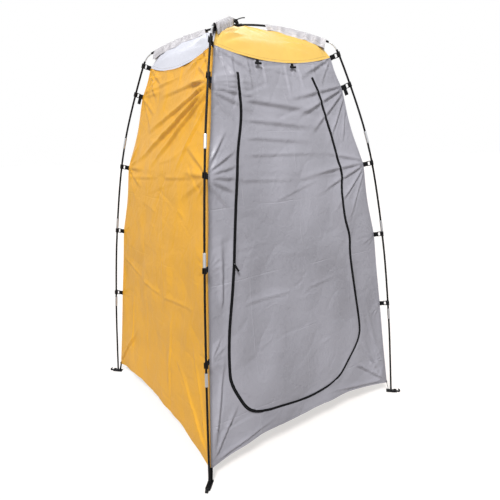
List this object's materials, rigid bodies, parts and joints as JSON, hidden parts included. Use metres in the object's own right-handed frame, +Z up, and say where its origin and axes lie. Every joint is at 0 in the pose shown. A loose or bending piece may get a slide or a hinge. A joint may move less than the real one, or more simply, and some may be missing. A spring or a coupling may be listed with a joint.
{
  "type": "privacy shower tent",
  "caption": "Square, tapering shower cabin of yellow and grey cloth hung on webbing straps inside two crossing jointed pole arches, with a roll-up zip door.",
  "frame": {"origin": "on the ground under the crown, at the centre of the four feet", "axes": "+Z up, the door wall faces -Y, +X to the right of a person facing the door"},
  "size_m": [1.217, 1.217, 1.9215],
  "materials": {
    "rod": "satin black fibreglass",
    "steel": "satin",
    "webbing": "matt woven tape",
    "plastic": "moulded, satin",
    "yellow_cloth": "coated polyester, slight sheen",
    "grey_cloth": "silver-grey coated polyester",
    "pale_cloth": "pale grey coated polyester",
    "sleeve_cloth": "light grey coated polyester"
  },
  "bodies": {
    "frame": {"leg_rod_front_left_1": "rod", "leg_rod_front_left_2": "rod", "leg_rod_front_left_3": "rod", "leg_rod_front_left_4": "rod", "shoulder_elbow_front_left": "steel", "roof_rod_front_left": "rod", "sleeve_front_left": "sleeve_cloth", "foot_front_left": "plastic", "corner_webbing_front_left": "webbing", "leg_rod_front_right_1": "rod", "leg_rod_front_right_2": "rod", "leg_rod_front_right_3": "rod", "leg_rod_front_right_4": "rod", "shoulder_elbow_front_right": "steel", "roof_rod_front_right": "rod", "sleeve_front_right": "sleeve_cloth", "foot_front_right": "plastic", "corner_webbing_front_right": "webbing", "leg_rod_back_right_1": "rod", "leg_rod_back_right_2": "rod", "leg_rod_back_right_3": "rod", "leg_rod_back_right_4": "rod", "shoulder_elbow_back_right": "steel", "roof_rod_back_right": "rod", "sleeve_back_right": "sleeve_cloth", "foot_back_right": "plastic", "corner_webbing_back_right": "webbing", "leg_rod_back_left_1": "rod", "leg_rod_back_left_2": "rod", "leg_rod_back_left_3": "rod", "leg_rod_back_left_4": "rod", "shoulder_elbow_back_left": "steel", "roof_rod_back_left": "rod", "sleeve_back_left": "sleeve_cloth", "foot_back_left": "plastic", "corner_webbing_back_left": "webbing", "wall_front": "grey_cloth", "roof_front": "yellow_cloth", "wall_right": "yellow_cloth", "roof_right": "pale_cloth", "wall_back": "grey_cloth", "roof_back": "yellow_cloth", "wall_left": "yellow_cloth", "roof_left": "pale_cloth", "zip_track": "plastic", "crown_tie": "webbing"},
    "door_1": {"door_fold_1": "grey_cloth"},
    "door_2": {"door_fold_2": "grey_cloth"},
    "door_3": {"door_fold_3": "grey_cloth"},
    "door_4": {"door_fold_4": "grey_cloth"},
    "door_5": {"door_fold_5": "grey_cloth"},
    "slider": {"zip_slider": "plastic"},
    "pull": {"zip_pull": "webbing"},
    "toggle_1": {"toggle_1": "plastic"},
    "toggle_2": {"toggle_2": "plastic"},
    "hook_front_left": {"ground_hook_front_left": "plastic"},
    "hook_front_right": {"ground_hook_front_right": "plastic"},
    "hook_back_right": {"ground_hook_back_right": "plastic"},
    "hook_back_left": {"ground_hook_back_left": "plastic"}
  },
  "joints": [
    {"name": "door_roll_1", "type": "hinge", "parent": "frame", "child": "door_1", "pos_m": [-0.032, -0.3413, 1.625], "axis": [-1, 0, 0], "range_deg": [0, 10]},
    {"name": "door_roll_2", "type": "hinge", "parent": "door_1", "child": "door_2", "pos_m": [-0.032, -0.4223, 1.28], "axis": [-1, 0, 0], "range_deg": [0, 90]},
    {"name": "door_roll_3", "type": "hinge", "parent": "door_2", "child": "door_3", "pos_m": [-0.032, -0.4702, 0.95], "axis": [-1, 0, 0], "range_deg": [0, 90]},
    {"name": "door_roll_4", "type": "hinge", "parent": "door_3", "child": "door_4", "pos_m": [-0.032, -0.499, 0.655], "axis": [-1, 0, 0], "range_deg": [0, 90]},
    {"name": "door_roll_5", "type": "hinge", "parent": "door_4", "child": "door_5", "pos_m": [-0.032, -0.5207, 0.41], "axis": [-1, 0, 0], "range_deg": [0, 90]},
    {"name": "zip_slide", "type": "slide", "parent": "frame", "child": "slider", "axis": [0.1524, 0.1079, 0.9824], "range_m": [-0.34, 0.34]},
    {"name": "pull_hinge", "type": "hinge", "parent": "slider", "child": "pull", "pos_m": [-0.3607, -0.4858, 0.8807], "axis": [-0.9883, 0.0166, 0.1515], "range_deg": [0, 150]},
    {"name": "toggle_hinge_1", "type": "hinge", "parent": "frame", "child": "toggle_1", "pos_m": [-0.118, -0.3285, 1.6796], "axis": [-1, 0, 0], "range_deg": [0, 120]},
    {"name": "toggle_hinge_2", "type": "hinge", "parent": "frame", "child": "toggle_2", "pos_m": [0.067, -0.3297, 1.6754], "axis": [-1, 0, 0], "range_deg": [0, 120]},
    {"name": "hook_hinge_front_left", "type": "hinge", "parent": "frame", "child": "hook_front_left", "pos_m": [-0.58902, -0.58902, 0.007], "axis": [-0.7071, 0.7071, 0], "range_deg": [0, 95]},
    {"name": "hook_hinge_front_right", "type": "hinge", "parent": "frame", "child": "hook_front_right", "pos_m": [0.58902, -0.58902, 0.007], "axis": [-0.7071, -0.7071, 0], "range_deg": [0, 95]},
    {"name": "hook_hinge_back_right", "type": "hinge", "parent": "frame", "child": "hook_back_right", "pos_m": [0.58902, 0.58902, 0.007], "axis": [0.7071, -0.7071, 0], "range_deg": [0, 95]},
    {"name": "hook_hinge_back_left", "type": "hinge", "parent": "frame", "child": "hook_back_left", "pos_m": [-0.58902, 0.58902, 0.007], "axis": [0.7071, 0.7071, 0], "range_deg": [0, 95]}
  ],
  "couplings": [
    {"joint": "door_roll_1", "follows": "door_roll_2", "ratio": 0.111},
    {"joint": "door_roll_3", "follows": "door_roll_2", "ratio": 1},
    {"joint": "door_roll_4", "follows": "door_roll_2", "ratio": 1},
    {"joint": "door_roll_5", "follows": "door_roll_2", "ratio": 1}
  ]
}
